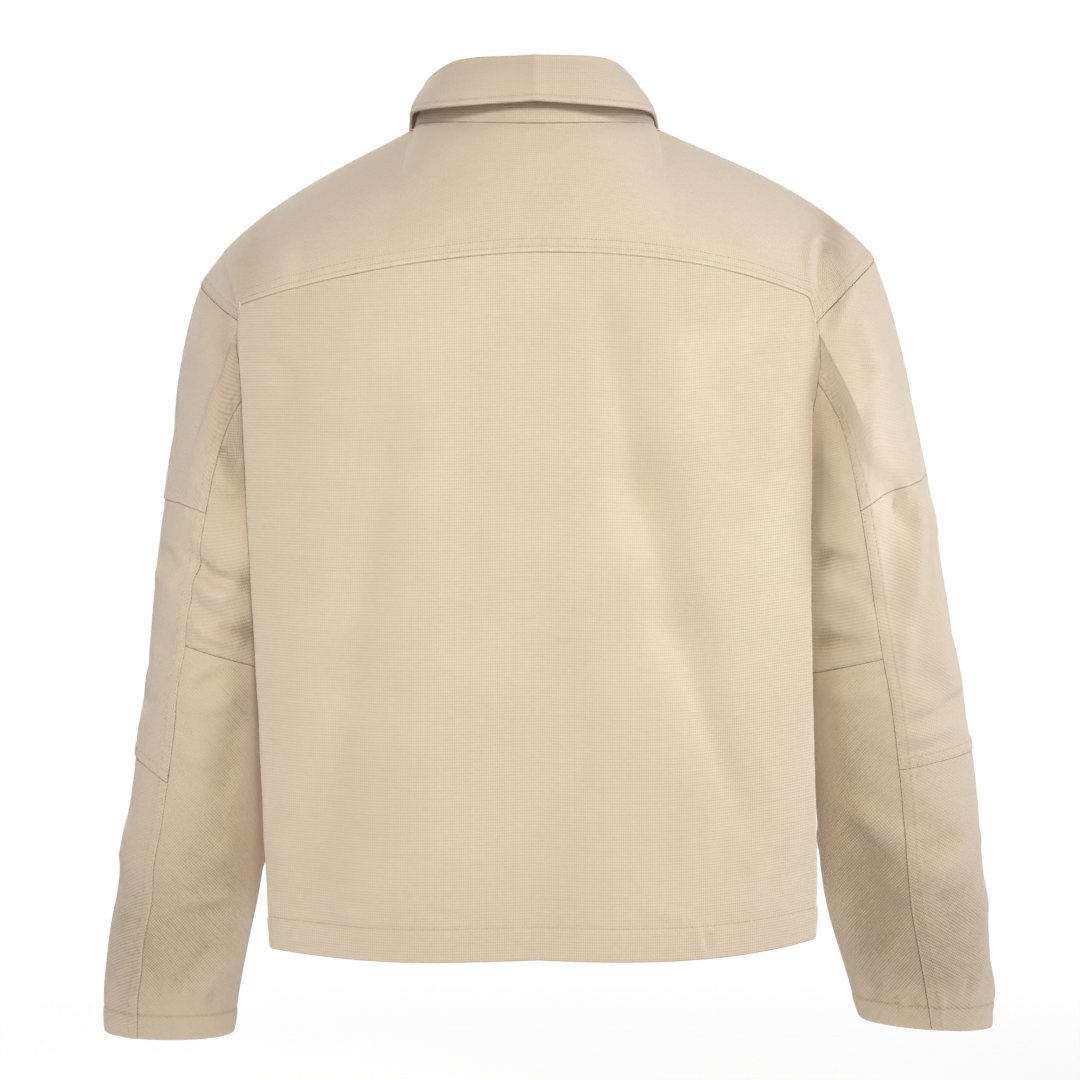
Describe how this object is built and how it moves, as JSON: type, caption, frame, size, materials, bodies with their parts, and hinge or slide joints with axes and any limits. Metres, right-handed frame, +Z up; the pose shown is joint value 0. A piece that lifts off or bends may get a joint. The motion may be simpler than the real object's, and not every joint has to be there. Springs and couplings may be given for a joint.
{
  "type": "chore jacket",
  "caption": "Cropped work jacket of plain canvas with a turned-down collar, back yoke, panelled sleeves and a buttoned front, in its worn hollow form.",
  "frame": {"origin": "middle of the neck opening, level with the neck seam at the back", "axes": "+Z up, +Y towards the back of the jacket, +X towards the wearer's left"},
  "size_m": [0.7248, 0.2727, 0.7805],
  "materials": {
    "canvas": "dry undyed cotton canvas",
    "button": "satin"
  },
  "bodies": {
    "root": {"back": "canvas", "yoke": "canvas", "front_left": "canvas", "front_right": "canvas", "collar": "canvas", "collar_stand": "canvas", "sleeve_left": "canvas", "elbow_left": "canvas", "forearm_left": "canvas", "under_upper_left": "canvas", "under_lower_left": "canvas", "sleeve_right": "canvas", "elbow_right": "canvas", "forearm_right": "canvas", "under_upper_right": "canvas", "under_lower_right": "canvas", "button_1": "button", "button_2": "button", "button_3": "button", "button_4": "button", "button_5": "button"}
  },
  "joints": []
}
